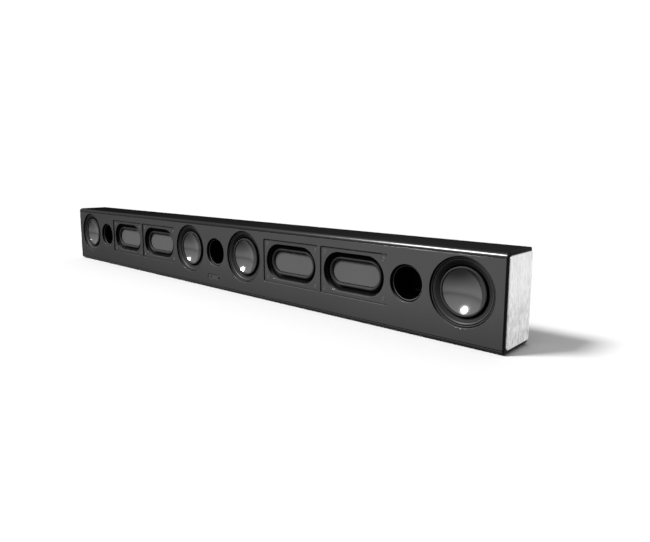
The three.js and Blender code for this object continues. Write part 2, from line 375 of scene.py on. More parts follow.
# A grey or a colour as four numbers: a grey three times over, and an alpha of one.
def tint(value):
    return (value, value, value, 1.0) if isinstance(value, (int, float)) else (*value, 1.0)


cloudSpan = (0.3, 0.7)    # where nearly all of a noise lies


# A plain finish: two tones mixed by clouds, which also carry the roughness from its first value to its
# second. The relief is the height of a fine grain, or of the clouds where no grain is given.
def plainFinish(name, clouds, tones, rough, relief=None, grain=None, stretch=None, **fixed):
    b = Board(name)
    slow = b.noise(*clouds, b.stretched(stretch) if stretch else None)
    if relief:
        fixed["normal"] = b.bump(b.noise(*grain) if grain else slow, *relief)
    return b.finish(base=b.shade(slow, *tones), rough=b.between(slow, *cloudSpan, *rough), **fixed)


# clouds and grain are (scale, detail, roughness of the noise), relief is (strength, distance)
plainFinishes = {
    "cap": {"name": "cap_moulding", "clouds": (30.0, 4.0, 0.6), "tones": (0.004, 0.008),
            "rough": (0.5, 0.62), "grain": (1800.0, 3.0, 0.6), "relief": (0.08, 0.0003), "specular": 0.06},
    "basket": {"name": "basket_coat", "clouds": (40.0, 4.0, 0.6), "tones": (0.046, 0.058),
               "rough": (0.42, 0.5), "grain": (2400.0, 3.0, 0.6), "relief": (0.07, 0.0003),
               "specular": 0.22},
    "magnet": {"name": "magnet_steel", "clouds": (300.0, 4.0, 0.6), "tones": (0.10, 0.20),
               "rough": (0.35, 0.5), "relief": (0.1, 0.0004), "metal": 0.9},
    "lens": {"name": "smoked_lens", "clouds": (80.0, 3.0, 0.6), "tones": (0.104, 0.114),
             "rough": (0.4, 0.5), "specular": 0.1},
    "sensor": {"name": "sensor_glass", "clouds": (200.0, 3.0, 0.6), "tones": (0.001, 0.003),
               "rough": (0.3, 0.4), "specular": 0.1},
    "lamp": {"name": "lamp_lens", "clouds": (900.0, 2.0, 0.5), "tones": (0.001, 0.004),
             "rough": (0.3, 0.42), "specular": 0.1},
    "socket": {"name": "socket_moulding", "clouds": (60.0, 3.0, 0.6), "tones": (0.010, 0.018),
               "rough": (0.4, 0.55), "grain": (1600.0, 3.0, 0.6), "relief": (0.1, 0.0003),
               "specular": 0.4},
    "control": {"name": "control_moulding", "clouds": (140.0, 4.0, 0.6), "tones": (0.030, 0.045),
                "rough": (0.36, 0.5), "grain": (1800.0, 3.0, 0.6), "relief": (0.08, 0.0003),
                "specular": 0.45},
    "nickel": {"name": "nickel_shell", "clouds": (120.0, 4.0, 0.6), "stretch": (1.0, 1.0, 5.0),
               "tones": (0.45, 0.62), "rough": (0.2, 0.34), "relief": (0.03, 0.0003), "metal": 1.0},
    "sink": {"name": "bare_aluminium", "clouds": (1.0, 3.0, 0.6), "stretch": (700.0, 700.0, 30.0),
             "tones": (0.45, 0.65), "rough": (0.3, 0.42), "relief": (0.1, 0.0003), "metal": 1.0},
    "foot": {"name": "foot_rubber", "clouds": (160.0, 4.0, 0.65), "tones": (0.010, 0.020),
             "rough": (0.7, 0.88), "relief": (0.12, 0.0003), "specular": 0.3},
}


# Black paint on an extrusion. The top is dull under streaks of haze; along the front lip, below the
# crown, the roughness falls to a polish and a clear coat rises with X. The tone rises with X too, as
# painted shade that darkens the left end.
def coverPaint():
    look = {"dark": 0.013, "light": 0.019, "dull": 0.66, "polish": 0.22}
    b = Board("cover_paint")
    haze = b.noise(14.0, 4.0, 0.6, b.stretched((0.35, 3.0, 1.0)))
    grain = b.noise(1500.0, 2.0, 0.5)
    crown = cadHigh.z
    lip = b.between(b.part("Y"), frontY + 8 * mm, frontY + 3 * mm) * b.between(
        b.part("Z"), crown - 0.8 * mm, crown - 2.4 * mm)
    rough = b.between(haze, *cloudSpan, look["dull"] - 0.05, look["dull"] + 0.08)
    # painted shade: the tone falls towards the left end (low X)
    paintedShade = b.between(b.part("X"), -0.5, 0.4, 0.5, 1.0)
    return b.finish(base=b.scaled(b.shade(b.between(haze, *cloudSpan), look["dark"], look["light"]), paintedShade),
                    rough=rough * (1 - lip) + lip * look["polish"] + grain * 0.04,
                    coat=lip * b.between(b.part("X"), 0.05, 0.40, 0.45, 1.0),
                    coatRough=0.24, specular=0.0, normal=b.bump(grain, 0.06, 0.0002))


# Dull black paint: haze mixes two tones and carries the roughness, under a fine grain.
def trayPaint(name="tray_paint", dark=0.020, light=0.028):
    b = Board(name)
    haze = b.noise(20.0, 4.0, 0.6)
    grain = b.noise(1500.0, 2.0, 0.5)
    return b.finish(base=b.shade(b.between(haze, *cloudSpan), dark, light),
                    rough=b.between(haze, *cloudSpan, 0.42, 0.54) + grain * 0.05, specular=0.18,
                    normal=b.bump(grain, 0.08, 0.0002))


# Charcoal moulding: the tone comes from clouds and grain, with painted shade darker towards low X and
# low Z. Past the given depth it is painted almost black as shade inside the openings, except on a ledge
# that faces up, which is painted lighter as a highlight.
def charcoalMoulding(name, tones, rough, wallDepth):
    b = Board(name)
    cloud = b.noise(9.0, 5.0, 0.62)
    grain = b.noise(2600.0, 3.0, 0.6)
    pores = b.node("TexVoronoi", {"feature": "F1"}, {"Vector": b.where, "Scale": 1700.0})
    tone = b.between(cloud, 0.25, 0.75) * 0.7 + grain * 0.3
    # painted shade: past the wall depth the colour is made almost black, as shade inside the openings
    face = b.between(b.part("Y"), frontY + (wallDepth + 0.3) * mm, frontY + wallDepth * mm)
    surface = b.bump(grain * 0.6 + pores * 0.4, 0.10, 0.0003)
    # painted shade: darker towards low X and low Z
    paintedShade = b.between(b.part("X"), -0.45, 0.35, 0.48, 1.0) * b.between(
        b.part("Z"), 0.006, 0.050, 0.74, 1.0)
    # painted highlight: faces turned up are made lighter and kept out of the black
    ledge = b.between(b.node("SeparateXYZ", None, {"Vector": b.facing}, result=2), 0.45, 0.85)
    painted = b.scaled(b.shade(tone, *tones), paintedShade + ledge * 0.5)
    face = b.maths("MAXIMUM", face, ledge)
    return b.finish(base=b.mixed(face, (0.004, 0.004, 0.004), painted), specular=0.08, normal=surface,
                    rough=b.between(cloud, *cloudSpan, rough - 0.03, rough + 0.05) + grain * 0.05,
                    coat=face * paintedShade * paintedShade * 0.65, coatRough=0.12)


# Brushed metal: the sum of fine and coarse scratches that run up and down, on a cloudy ground. Towards
# the bottom the ground is painted darker, as painted shade standing in for the dimmer reflection
# there, and the scratches stand out more.
def brushedPlate():
    b = Board("brushed_plate")
    fine = b.noise(1.0, 3.0, 0.65, b.stretched((900.0, 900.0, 130.0)))
    coarse = b.noise(1.0, 4.0, 0.7, b.stretched((360.0, 360.0, 95.0)))
    cloud = b.noise(1.0, 3.0, 0.6, b.stretched((110.0, 110.0, 60.0)))
    # painted shade: the ground darkens towards the bottom
    low = b.between(b.part("Z"), 0.075, 0.01)
    streak = (fine * 1.0 + coarse * 1.1 + cloud * 0.4 - 1.25) * (1.1 + low * 1.5)
    ground = b.clamp(streak + 0.80 - low * 0.30)
    return b.finish(base=b.shade(ground, (0.44, 0.44, 0.445), (0.97, 0.97, 0.975)),
                    metal=1.0, rough=b.between(coarse, 0.25, 0.75, 0.34, 0.22) + fine * 0.06,
                    normal=b.bump(fine * 0.6 + coarse * 0.5, 0.16, 0.0004))


# Rubber with a dull bloom and a very fine skin texture, painted almost black below the given depth as shade
# in the groove.
def surroundRubber(name="surround_rubber", dark=0.036, light=0.047, gloss=0.04, deepAt=7.0):
    b = Board(name)
    bloom = b.noise(120.0, 5.0, 0.65)
    skin = b.noise(2200.0, 2.0, 0.5)
    # painted shade: deeper than the given depth the rubber is made almost black
    face = b.between(b.part("Y"), frontY + (deepAt + 0.5) * mm, frontY + deepAt * mm)
    return b.finish(base=b.mixed(face, (0.003, 0.003, 0.003), b.shade(bloom, dark, light)),
                    rough=b.between(bloom, *cloudSpan, 0.45, 0.6), specular=gloss,
                    normal=b.bump(skin, 0.10, 0.0003))


# Anodised cone: dark polished metal, its tone from fine specks and slow ripples, with the ripples as
# the faintest relief.
def coneMetal():
    b = Board("cone_metal")
    ripple = b.noise(60.0, 2.0, 0.5)
    speck = b.noise(3000.0, 2.0, 0.5)
    return b.finish(base=b.shade(speck * 0.6 + ripple * 0.4, 0.162, 0.192), metal=0.7,
                    rough=b.between(ripple, *cloudSpan, 0.11, 0.14), specular=0.4,
                    normal=b.bump(ripple, 0.004, 0.0004))


# Spider cloth: brown, mixed by stains, with the cells of a fine weave as relief.
def spiderCloth():
    b = Board("spider_cloth")
    weave = b.node("TexVoronoi", {"feature": "F1"}, {"Vector": b.where, "Scale": 1400.0})
    stain = b.noise(50.0, 3.0, 0.6)
    return b.finish(base=b.shade(stain, (0.30, 0.20, 0.09), (0.42, 0.30, 0.15)), rough=0.85,
                    normal=b.bump(weave, 0.3, 0.0003))


# Flat grey coat of the radiator plates: clouds mix two close greys, and clouds and grain dull it.
def radiatorCoat():
    b = Board("radiator_coat")
    cloud = b.noise(26.0, 4.0, 0.55)
    grain = b.noise(2600.0, 3.0, 0.6)
    return b.finish(base=b.shade(b.between(cloud, 0.25, 0.75), 0.185, 0.20),
                    rough=b.between(cloud, *cloudSpan, 0.5, 0.58) + grain * 0.04, specular=0.15,
                    normal=b.bump(grain, 0.06, 0.0003))


# Moulded port: a pale ring painted at the mouth as a highlight, and painted shade, dead black, inside.
def portMoulding():
    b = Board("port_moulding")
    grain = b.noise(2000.0, 3.0, 0.6)
    cloud = b.noise(60.0, 3.0, 0.6)
    # painted highlight on the mouth ring, painted shade inside the tube
    mouth = b.between(b.part("Y"), frontY + 5.4 * mm, frontY + 4.6 * mm)
    return b.finish(base=b.shade(mouth * (0.8 + cloud * 0.3), 0.0003, 0.22),
                    rough=b.between(cloud, *cloudSpan, 0.5, 0.6), coat=mouth * 0.6, coatRough=0.15,
                    specular=0.04, normal=b.bump(grain, 0.06, 0.0003))


# Circuit board: green mask with a grid of paler tracks.
def boardMask():
    b = Board("board_mask")
    tracks = b.node("TexBrick", {"offset": 0.5}, {"Vector": b.stretched((60.0, 60.0, 60.0)), "Scale": 3.0,
                    "Mortar Size": 0.03, "Color1": tint((0.01, 0.07, 0.03)),
                    "Color2": tint((0.012, 0.085, 0.035)), "Mortar": tint((0.03, 0.16, 0.07))})
    stain = b.noise(90.0, 3.0, 0.6)
    return b.finish(base=tracks, rough=b.between(stain, *cloudSpan, 0.3, 0.45), specular=0.5,
                    normal=b.bump(stain, 0.05, 0.0003))


# Zinc plate: crystal spangles mixed with rubbed streaks; its inner side is painted black and without metal,
# as shade inside the cabinet.
def zincPlate():
    b = Board("zinc_plate")
    spangle = b.node("TexVoronoi", {"feature": "F1"}, {"Vector": b.where, "Scale": 240.0}, result=1)
    value = b.node("RGBToBW", None, {"Color": spangle})
    rub = b.noise(1.0, 3.0, 0.6, b.stretched((500.0, 60.0, 60.0)))
    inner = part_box("wall_plate_left")[0].y
    # painted shade: the inner side is made black and not metal
    outside = b.between(b.part("Y"), inner + 0.2 * mm, inner + 0.6 * mm)
    blend = value * 0.5 + rub * 0.5
    return b.finish(base=b.mixed(outside, (0.004, 0.004, 0.004), b.shade(blend, 0.34, 0.52)),
                    metal=outside, rough=b.between(blend, 0.2, 0.8, 0.3, 0.46),
                    normal=b.bump(rub, 0.06, 0.0003))


# Blackened screws, rubbed to a paler tone in places.
def screwBlack():
    b = Board("screw_black")
    rub = b.noise(700.0, 4.0, 0.65)
    return b.finish(base=b.shade(b.between(rub, 0.35, 0.75), 0.11, 0.17), metal=0.1,
                    rough=b.between(rub, *cloudSpan, 0.32, 0.5), normal=b.bump(rub, 0.1, 0.0002))


# Painted studio floor, almost white, with a trace of unevenness.
def studioFloor():
    b = Board("studio_floor")
    cloud = b.noise(1.4, 4.0, 0.6)
    return b.finish(base=b.shade(cloud, 0.94, 0.96), rough=0.9, specular=0.1)


paint = {name: make() for name, make in {
    "cover": coverPaint, "tray": trayPaint, "brushed": brushedPlate, "rubber": surroundRubber,
    "cone": coneMetal, "spider": spiderCloth, "radiator": radiatorCoat, "port": portMoulding,
    "board": boardMask, "zinc": zincPlate, "screw": screwBlack}.items()}
paint.update({name: plainFinish(**look) for name, look in plainFinishes.items()})
paint["baffle"] = charcoalMoulding("baffle_moulding", (0.086, 0.101), 0.55, 0.75)
paint["frame"] = charcoalMoulding("frame_moulding", (0.086, 0.101), 0.52, 2.45)
# painted light: a lighter copy of the tray paint, for the rear cover and connector panel, since little light
# reaches the back
paint["rear"] = trayPaint("rear_paint_lightened", 0.040, 0.052)
# the last number is the depth past which each rubber is painted black as shade
paint["bead"] = surroundRubber("bead_rubber", 0.056, 0.068, 0.12, 4.9)
paint["rim"] = surroundRubber("rim_rubber", 0.034, 0.044, 0.12, 9.4)
paint["roll"] = surroundRubber("roll_rubber", 0.002, 0.005, 0.06, 14.0)
print("finishes made:", len(paint))


shell = {"wall": 2.5, "topRound": 6.5, "rearRound": 3.0, "trayRound": 1.0, "lipGap": 1.1,
         "coverEase": (0.35, 0.3), "trayEase": 0.4, "endEdge": 0.2}


# Top cover and base tray: outlines in Y and Z carried along X, each a wall of even thickness whose inner
# arcs have the outer radius less the wall.
def buildCabinet():
    topBox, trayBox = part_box("top_cover"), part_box("base_tray")
    wall, big, small = shell["wall"] * mm, shell["topRound"] * mm, shell["rearRound"] * mm
    x0, x1 = topBox[0].x, topBox[1].x
    f, r, top = topBox[0].y, topBox[1].y, topBox[1].z
    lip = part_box("front_baffle")[1].z + shell["lipGap"] * mm
    endRows = roundedBoth(x0, x1, shell["endEdge"] * mm, -1, 2)

    # top cover: over the top from the rear lip to the rounded front lip
    seam = topBox[0].z
    easeIn, easeUp = [value * mm for value in shell["coverEase"]]
    outer = np.concatenate([[(r, seam)], arcPoints((r - small, top - small), small, 0, 90, 8),
                            arcPoints((f + big, top - big), big, 90, 180, 20), [(f, lip + easeUp)]])
    inner = np.concatenate([[(f + easeIn, lip), (f + wall, lip)],
                            arcPoints((f + big, top - big), big - wall, 180, 90, 12),
                            arcPoints((r - small, top - small), small - wall, 90, 0, 3),
                            [(r - wall, seam)]])
    cover = drawnHole(np.concatenate([outer, inner]))
    place(makeObject("top_cover_made", *piercedPlate([(cover, endRows)], "x")),
          "cabinet", paint["cover"], ["top_cover"])

    # base tray with the lower front lip
    low, seam, tiny, ease = trayBox[0].z, trayBox[1].z, shell["trayRound"] * mm, shell["trayEase"] * mm
    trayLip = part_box("front_baffle")[0].z - shell["lipGap"] * mm
    tray = np.concatenate([[(f + ease, trayLip), (f, trayLip - ease)],
                           arcPoints((f + tiny, low + tiny), tiny, 180, 270, 5),
                           arcPoints((r - small, low + small), small, -90, 0, 8), [(r, seam)],
                           [(r - wall, seam)], arcPoints((r - small, low + small), small - wall, 0, -90, 3),
                           [(f + wall, low + wall), (f + wall, trayLip)]])
    place(makeObject("base_tray_made", *piercedPlate([(drawnHole(tray), endRows)], "x")),
          "cabinet", paint["tray"], ["base_tray"])

    print("top cover and base tray made")


rearPanel = {"corner": 1.5, "edge": 0.3, "holeEdge": 0.4, "holeGap": 0.3, "holeCorner": 1.2,
             "screwIn": 7, "screwHole": 2.0, "sink": 1.2, "screwRadius": 3.0, "screwSunk": 0.05}
rearScrewsAt = (-520, -330, -80, 80, 330, 520)


# Rear cover: a flat plate with rounded corners and edges, pierced for the connector bay and the wall
# plates, each widened by a gap, and for two rows of countersunk screws.
def buildRearCover():
    d = {key: value * mm for key, value in rearPanel.items()}
    low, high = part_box("rear_cover")
    half, centre = (high - low) / 2, (high + low) / 2
    back = roundedBoth(high.y, low.y, d["edge"], -1, 2)
    hole = roundedBoth(high.y, low.y, d["holeEdge"], 1, 2)
    corner = d["corner"]
    outlines = [(roundHole((centre.x, centre.z), (half.x - corner, half.z - corner), corner, 4), back)]
    for node in ("connector_panel", "wall_plate_left", "wall_plate_right"):
        at, size = seat(node)
        core = [value + d["holeGap"] - d["holeCorner"] for value in size]
        outlines.append((roundHole(at, core, d["holeCorner"], 4), hole))
    screws, sunk = [], [(d["sink"], high.y), (0.0, high.y - d["sink"]), (0.0, low.y)]
    for x in rearScrewsAt:
        for z in (low.z + d["screwIn"], high.z - d["screwIn"]):
            outlines.append((roundHole((x * mm, z), (0, 0), d["screwHole"], 8), sunk))
            screws.append(screwHead((x * mm, z), high.y - d["screwSunk"], 1, d["screwRadius"]))
    # the rear cover takes the lightened copy of the tray paint, which is painted light
    place(makeObject("rear_cover_made", *piercedPlate(outlines)), "cabinet", paint["rear"],
          ["rear_cover"])
    place(makeObject("rear_screws", *joinShapes(screws)), "cabinet", paint["screw"])
    print("rear cover made")


# A countersunk screw head with a six-lobed socket, facing way = -1 (front) or +1 (back).
def screwHead(centre, face, way, radius):
    s = radius
    rows = [(0.02 * s, face - way * 0.22 * s), (0.34 * s, face - way * 0.22 * s, 0.05 * s),
            (0.40 * s, face - way * 0.03 * s, 0.05 * s), (0.44 * s, face, 0.03 * s), (0.84 * s, face),
            (0.95 * s, face - way * 0.05 * s), (0.97 * s, face - way * 0.16 * s),
            (0.55 * s, face - way * 0.62 * s), (0.5 * s, face - way * 1.0 * s),
            (0.02 * s, face - way * 1.0 * s)]
    return carriedRing(rows, centre=centre, steps=12, closed=False)


# coreShort: how much shorter the outline's straight core is than half the height
baffle = {"gap": 0.3, "holeEdge": 0.5, "frameEdge": 0.7, "outerEdge": 0.5, "windowEdge": 0.25,
          "outerCorner": 0.8, "coreShort": 0.3, "frameCorner": 2.6}


# Front baffle: a flat plate with an opening for every piece it carries, each widened by the same gap
# and rounded towards the face by a quarter circle.
def buildBaffle():
    d = {key: value * mm for key, value in baffle.items()}
    low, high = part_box("front_baffle")
    half, centre = (high - low) / 2, (high + low) / 2
    gap, corner, frameCorner = d["gap"], d["outerCorner"], d["frameCorner"]
    outlines = [(roundHole((centre.x, centre.z), (half.x - corner, half.z - d["coreShort"]), corner, 4),
                 roundedEdge(low.y, high.y, d["outerEdge"], -1))]
    holeEdge, frameEdge = [roundedEdge(low.y, high.y, d[key], 1) for key in ("holeEdge", "frameEdge")]
    for i in range(1, 5):
        at, size = seat(f"driver_basket_{i}")
        outlines.append((roundHole(at, (0, 0), size[0] + gap, 40), holeEdge))
        at, size = seat(f"radiator_frame_{i}")
        core = [value + gap - frameCorner for value in size]
        outlines.append((roundHole(at, core, frameCorner, 6), frameEdge))
    for side in ("left", "centre", "right"):
        at, size = seat(f"port_tube_{side}")
        outlines.append((roundHole(at, (0, 0), size[0] + gap, 28), holeEdge))
    at, size = seat("status_window")
    radius = size[1] + gap
    outlines.append((roundHole(at, (size[0] + gap - radius, 0), radius, 10),
                     roundedEdge(low.y, high.y, d["windowEdge"], 1)))
    place(makeObject("front_baffle_made", *piercedPlate(outlines)), "cabinet", paint["baffle"],
          ["front_baffle"])
    print("front baffle made")


ends = {"capEdge": 0.5, "plateBevel": 0.55, "plateCorner": 3.4}


# End cap: the cover's outline as a thin plate across X with a rounded outer edge. End plate: a rounded
# rectangle whose bevel falls away from the outer face.
def buildEnds():
    for side in ("left", "right"):
        way = 1 if side == "right" else -1
        low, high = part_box(f"end_cap_{side}")
        f, r, z0, z1 = low.y, high.y, low.z, high.z
        big, small, tiny = shell["topRound"] * mm, shell["rearRound"] * mm, shell["trayRound"] * mm
        outline = np.concatenate([arcPoints((f + tiny, z0 + tiny), tiny, 180, 270, 5),
                                  arcPoints((r - small, z0 + small), small, -90, 0, 8),
                                  arcPoints((r - small, z1 - small), small, 0, 90, 8),
                                  arcPoints((f + big, z1 - big), big, 90, 180, 20)])
        outer, innerX = (high.x, low.x) if way > 0 else (low.x, high.x)
        rows = roundedEdge(outer, innerX, ends["capEdge"] * mm, -1, 3)
        place(makeObject(f"end_cap_{side}_made", *piercedPlate([(drawnHole(outline), rows)], "x")),
              "cabinet", paint["cap"], [f"end_cap_{side}"])

        low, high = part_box(f"end_plate_{side}")
        corner = ends["plateCorner"] * mm
        core = ((high.y - low.y) / 2 - corner, (high.z - low.z) / 2 - corner)
        outer, innerX = (high.x, low.x) if way > 0 else (low.x, high.x)
        shape = roundHole(((low.y + high.y) / 2, (low.z + high.z) / 2), core, corner, 8)
        bevel = ends["plateBevel"] * mm
        rows = [(-bevel - 0.3 * mm, outer), (-bevel, outer), (-bevel * 0.9, outer - way * bevel * 0.03),
                (-bevel * 0.1, outer - way * bevel * 0.8), (0.0, outer - way * bevel), (0.0, innerX)]
        place(makeObject(f"end_plate_{side}_made", *piercedPlate([(shape, rows)], "x"), sharp=20),
              "cabinet", paint["brushed"], [f"end_plate_{side}"])
    print("ends made")


# Every profile below is (radius, depth behind the front face) in millimetres.
driver = {
    "basket": [(43.5, 5.8), (43.1, 5.4), (43.0, 3.6), (42.8, 3.1), (42.3, 2.9), (41.5, 2.9), (41.1, 3.1),
               (40.95, 3.6), (40.9, 6.2), (40.3, 6.2), (40.25, 4.3), (40.0, 3.9), (39.6, 3.8), (39.1, 3.95),
               (37.9, 4.75), (37.65, 5.0), (37.6, 6.5), (37.5, 7.4), (36, 11), (24, 34.5), (24, 38), (27, 38),
               (38.6, 13), (43.5, 7.2)],
    "surround": [(37.5, 5.4), (37.35, 5.1), (37.0, 5.15), (36.2, 5.6), (35.2, 6.2), (34.3, 6.8), (33.7, 7.15),
                 (33.2, 7.25), (32.8, 7.45), (32.6, 7.9), (32.55, 8.6), (32.4, 11.6), (32.0, 12.1),
                 (31.0, 12.2), (29.8, 12.0), (29.3, 11.4), (29.0, 12.4), (29.8, 12.8), (32.4, 12.9),
                 (33.2, 11.4), (33.9, 9.4), (35.2, 7.6), (36.4, 6.6), (37.5, 6.3)],
    "bead": [(28.3, 8.6), (28.3, 5.0), (28.35, 4.6), (28.55, 4.25), (28.9, 4.1), (29.6, 4.05), (30.3, 4.1),
             (30.65, 4.3), (30.8, 4.7), (30.8, 10.6), (29.6, 11.0), (28.4, 10.2)],
    "dishEdge": 28.1, "dishDepth": 6.2, "dishRadius": 47.0, "dishRings": 28,
    "former": [(13, 15.5), (13, 32), (12, 32), (12, 16.6)],
    "spiderInner": 13.0, "spiderOuter": 30.0, "spiderDepth": 21.2, "spiderWaves": 4, "spiderLift": 0.4,
    "spiderLean": 3.6,
}


# Rows of (radius, depth) in the frame: millimetres made metres, and the depth added to the front.
def atDriver(profile):
    return [(row[0] * mm, frontY + row[1] * mm) for row in profile]


# Dish: a cap of a sphere, deepest in the middle; the back follows it a little deeper.
def coneProfile():
    d = driver
    rim = math.sqrt(d["dishRadius"] ** 2 - d["dishEdge"] ** 2)
    depthAt = lambda radius: d["dishDepth"] + np.sqrt(d["dishRadius"] ** 2 - radius ** 2) - rim
    radius = np.linspace(0.05, d["dishEdge"], d["dishRings"])
    backRadius = np.linspace(d["dishEdge"], 13.3, 12)
    front = list(zip(radius, depthAt(radius)))
    back = list(zip(backRadius, np.minimum(depthAt(backRadius) + 1.0, 15.4)))
    return front + back + d["former"] + [(0.05, 17.4)]


# Spider: a shallow cone of cloth with a few waves, deeper at the former than at the basket.
def spiderProfile():
    d = driver
    share = np.linspace(0, 1, 41)
    radius = d["spiderInner"] + share * (d["spiderOuter"] - d["spiderInner"])
    wave = d["spiderLift"] * np.sin(share * d["spiderWaves"] * 2 * math.pi) * np.minimum(1, 6 * share)
    lean = d["spiderLean"] * (0.5 - share)
    upper = list(zip(radius, d["spiderDepth"] + wave + lean))
    lower = list(zip(radius[::-1], d["spiderDepth"] + (wave + lean)[::-1] + 0.45))
    return upper + lower


# Each driver: its profiles carried round the centre of its basket. The surround and the spider ride
# no body; they sit between the cabinet and the cone.
def buildDrivers():
    for i in range(1, 5):
        at = middle(f"driver_basket_{i}")
        centre = (at.x, at.z)
        body = f"driver_{i}"
        place(makeObject(f"driver_basket_{i}_made", *carriedRing(atDriver(driver["basket"]), centre=centre,
                                                               steps=32)),
              "cabinet", paint["basket"], [f"driver_basket_{i}"])
        roll = place(makeObject(f"driver_surround_{i}_made", *carriedRing(atDriver(driver["surround"]),
                                centre=centre, steps=32), sharp=60),
                     None, paint["rubber"], [f"driver_surround_{i}"])
        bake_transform(roll)
        place(makeObject(f"driver_cone_{i}_made", *carriedRing(atDriver(coneProfile()), centre=centre,
                                                             steps=32, closed=False)),
              body, paint["cone"], [f"driver_cone_{i}"])
        place(makeObject(f"driver_bead_{i}", *carriedRing(atDriver(driver["bead"]), centre=centre, steps=32)),
              body, paint["bead"])
        spider = place(makeObject(f"driver_spider_{i}_made", *carriedRing(atDriver(spiderProfile()),
                                  centre=centre, steps=20), sharp=60),
                       None, paint["spider"], [f"driver_spider_{i}"])
        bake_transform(spider)
        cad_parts[f"driver_magnet_{i}"].material_slots[0].material = paint["magnet"]
    print("drivers made")


radiator = {
    "frameFace": 2.0, "frameBack": 12.0, "corner": 2.3, "openingCore": 25.7, "openingRadius": 28.5,
    "openingEdge": 0.5, "frameGap": 0.45, "screwIn": (6.9, 7.3), "screwRadius": 3.0,
    "surround": [(28.3, 7.6), (27.9, 7.1), (27.3, 7.3), (26.6, 8.6), (25.6, 10.6), (24.3, 12.2),
                 (22.8, 13.0), (21.2, 13.1), (19.4, 12.6), (18.6, 12.2), (18.6, 12.8), (19.6, 13.4),
                 (21.2, 13.8), (23.2, 13.7), (25.1, 12.8), (26.4, 11.2), (27.3, 9.3), (28.3, 8.8)],
    "bead": [(16.3, 11.4), (16.4, 9.6), (16.8, 8.6), (17.5, 7.8), (18.5, 7.1), (19.5, 6.85), (20.3, 7.05),
             (20.85, 7.6), (21.1, 8.4), (21.1, 11.6), (20.4, 12.0), (16.6, 11.7)],
    "plate": [(0.01, 10.2), (15.6, 10.2), (15.95, 10.3), (16.1, 10.6), (16.15, 11.2), (16.0, 12.0),
              (8.0, 12.2), (7.5, 12.6), (7.2, 16.0), (6.6, 16.5), (0.01, 16.5)],
}


# Each radiator: a pierced frame with a countersunk seat at each corner, and profiles carried round a
# straight core, so that the opening, the rubber and the plate are stadiums.
def buildRadiators():
    d = radiator
    for i in range(1, 5):
        centre, half = seat(f"radiator_frame_{i}")
        face, back, corner = frontY + d["frameFace"] * mm, frontY + d["frameBack"] * mm, d["corner"] * mm
        core = (d["openingCore"] * mm, 0)
        inset = d["frameGap"] * mm
        outer = (half[0] - corner - inset, half[1] - corner - inset)
        outlines = [(roundHole(centre, outer, corner, 6), roundedEdge(face, back, 0.3 * mm, -1)),
                    (roundHole(centre, core, d["openingRadius"] * mm, 28),
                     roundedEdge(face, back, d["openingEdge"] * mm, 1))]
        screws, radius = [], d["screwRadius"] * mm
        for sx in (-1, 1):
            for sz in (-1, 1):
                at = (centre[0] + sx * (half[0] - d["screwIn"][0] * mm),
                      centre[1] + sz * (half[1] - d["screwIn"][1] * mm))
                outlines.append((roundHole(at, (0, 0), 1.6 * mm, 8),
                                 [(radius - 1.1 * mm, face), (radius - 1.4 * mm, face),
                                  (radius - 1.6 * mm, face + 0.25 * mm), (0.0, face + 1.8 * mm),
                                  (0.0, back)]))
                screws.append(screwHead(at, face + 0.12 * mm, -1, radius * 0.98))
        place(makeObject(f"radiator_frame_{i}_made", *piercedPlate(outlines), sharp=25), "cabinet",
              paint["frame"], [f"radiator_frame_{i}"])
        place(makeObject(f"radiator_screws_{i}", *joinShapes(screws)), "cabinet", paint["screw"])
        roll = place(makeObject(f"radiator_surround_{i}_made", *carriedRing(atDriver(d["surround"]), core,
                                centre, 24), sharp=60),
                     None, paint["roll"], [f"radiator_surround_{i}"])
        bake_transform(roll)
        place(makeObject(f"radiator_plate_{i}_made", *carriedRing(atDriver(d["plate"]), core, centre, 24,
                                                                closed=False)),
              f"radiator_{i}", paint["radiator"], [f"radiator_plate_{i}"])
        place(makeObject(f"radiator_bead_{i}", *carriedRing(atDriver(d["bead"]), core, centre, 24)),
              f"radiator_{i}", paint["rim"])
    print("passive radiators made")


port = {"profile": [(24.7, 6.6), (23.4, 6.5), (23.15, 6.0), (23.05, 5.2), (22.9, 4.6), (22.55, 4.3),
                    (22.15, 4.45), (21.95, 4.9), (21.8, 6.0), (21.5, 8.0), (21.5, 41), (23, 41), (23, 8),
                    (24.7, 8)]}


# Each port: one closed profile carried round the centre of its tube.
def buildPorts():
    for side in ("left", "centre", "right"):
        at = middle(f"port_tube_{side}")
        place(makeObject(f"port_tube_{side}_made", *carriedRing(atDriver(port["profile"]),
                                                             centre=(at.x, at.z), steps=28)),
              "cabinet", paint["port"], [f"port_tube_{side}"])
    print("ports made")


window = {"lensDepth": 1.1, "domeRise": 0.5, "domeSunk": 0.05, "sensorAt": -7.8, "sensorRadius": 2.0,
          "lampAt": 14.0, "lampRadius": 2.6}


